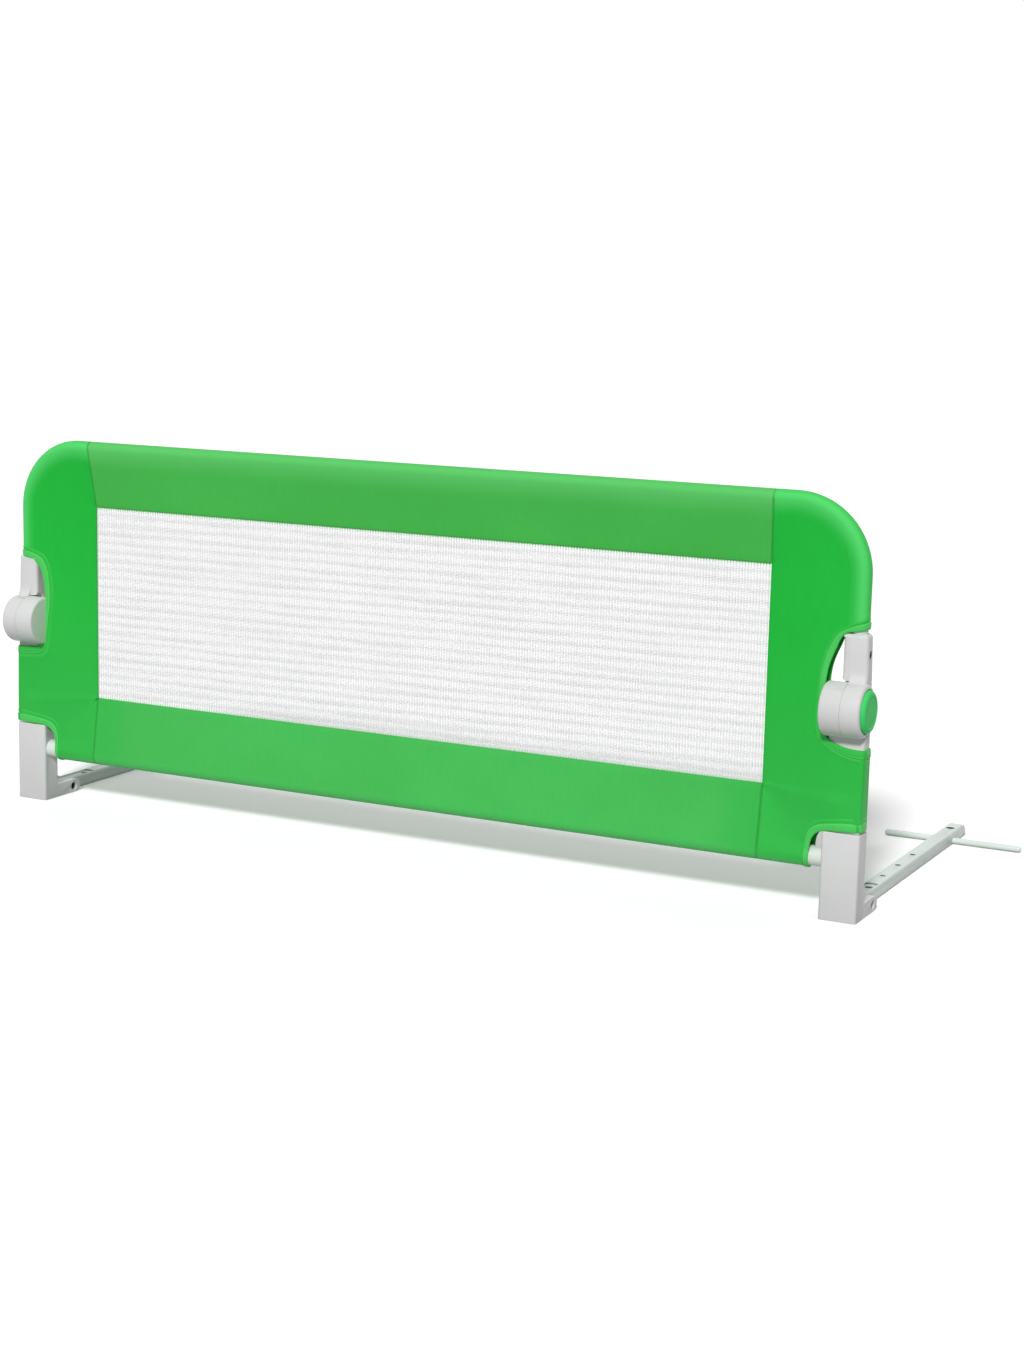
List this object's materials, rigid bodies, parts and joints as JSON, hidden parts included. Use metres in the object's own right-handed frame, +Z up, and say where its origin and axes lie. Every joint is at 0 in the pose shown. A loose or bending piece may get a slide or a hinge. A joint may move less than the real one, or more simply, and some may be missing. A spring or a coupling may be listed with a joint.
{
  "type": "folding bed guard rail",
  "caption": "Fabric and mesh guard rail for a bedside, folding down at push-button barrel hinges, with fold-up arms that go under the mattress.",
  "frame": {"origin": "floor level, middle of the footprint", "axes": "+X along the rail, +Y towards the bed, along the arms, +Z up"},
  "size_m": [1.1362, 0.4396, 0.4122],
  "materials": {
    "white_plastic": "moulded, fine satin",
    "grey_plastic": "moulded nylon",
    "green_plastic": "moulded, satin gloss",
    "white_paint": "powder coat, smooth",
    "zinc": "zinc plated",
    "green_cloth": "woven polyester, sewn",
    "green_strip": "woven polyester, sewn",
    "white_mesh": "knitted polyester mesh"
  },
  "bodies": {
    "base": {"foot_left": "white_plastic", "foot_right": "white_plastic", "hinge_post_left": "white_plastic", "hinge_post_right": "white_plastic", "axle_bolt_left": "zinc", "axle_bolt_right": "zinc", "lock_spring_left": "zinc", "lock_spring_right": "zinc", "bottom_tube_left": "white_paint", "bottom_tube_right": "white_paint", "tube_screw_left": "zinc", "tube_screw_right": "zinc", "post_screw_left": "zinc", "post_screw_right": "zinc", "pivot_rivet_left": "zinc", "pivot_rivet_right": "zinc", "side_cover_lower_left": "green_cloth", "side_cover_lower_right": "green_cloth", "bottom_tube_joiner": "zinc", "bottom_cover": "green_strip", "mesh_lower": "white_mesh"},
    "upper_frame": {"hinge_arm_left": "white_plastic", "hinge_arm_right": "white_plastic", "corner_tube_left": "white_paint", "corner_tube_right": "white_paint", "snap_pin_left": "zinc", "snap_pin_right": "zinc", "socket_screw_left": "zinc", "socket_screw_right": "zinc", "side_cover_upper_left": "green_cloth", "side_cover_upper_right": "green_cloth", "top_tube": "white_paint", "top_cover": "green_strip", "mesh_upper": "white_mesh"},
    "button_left": {"release_button_left": "green_plastic"},
    "gear_left": {"lock_gear_left": "grey_plastic"},
    "arm_left": {"arm_channel_left": "white_paint", "arm_bracket_left": "white_paint", "cross_rod_left": "white_paint"},
    "button_right": {"release_button_right": "green_plastic"},
    "gear_right": {"lock_gear_right": "grey_plastic"},
    "arm_right": {"arm_channel_right": "white_paint", "arm_bracket_right": "white_paint", "cross_rod_right": "white_paint"}
  },
  "joints": [
    {"name": "fold", "type": "hinge", "parent": "base", "child": "upper_frame", "pos_m": [0, -0.19345, 0.208], "axis": [1, 0, 0], "range_deg": [0, 178]},
    {"name": "button_left_press", "type": "slide", "parent": "upper_frame", "child": "button_left", "axis": [1, 0, 0], "range_m": [0, 0.0035], "stiffness_N_per_m": 900, "springref_m": -0.003},
    {"name": "gear_left_slide", "type": "slide", "parent": "base", "child": "gear_left", "axis": [1, 0, 0], "range_m": [0, 0.0035], "deforming": ["lock_spring_left"]},
    {"name": "arm_left_fold", "type": "hinge", "parent": "base", "child": "arm_left", "pos_m": [-0.48425, -0.14225, 0.0072], "axis": [1, 0, 0], "range_deg": [0, 90]},
    {"name": "button_right_press", "type": "slide", "parent": "upper_frame", "child": "button_right", "axis": [-1, 0, 0], "range_m": [0, 0.0035], "stiffness_N_per_m": 900, "springref_m": -0.003},
    {"name": "gear_right_slide", "type": "slide", "parent": "base", "child": "gear_right", "axis": [-1, 0, 0], "range_m": [0, 0.0035], "deforming": ["lock_spring_right"]},
    {"name": "arm_right_fold", "type": "hinge", "parent": "base", "child": "arm_right", "pos_m": [0.48425, -0.14225, 0.0072], "axis": [1, 0, 0], "range_deg": [0, 90]}
  ],
  "couplings": [
    {"joint": "gear_left_slide", "follows": "button_left_press", "ratio": 1},
    {"joint": "gear_right_slide", "follows": "button_right_press", "ratio": 1}
  ]
}
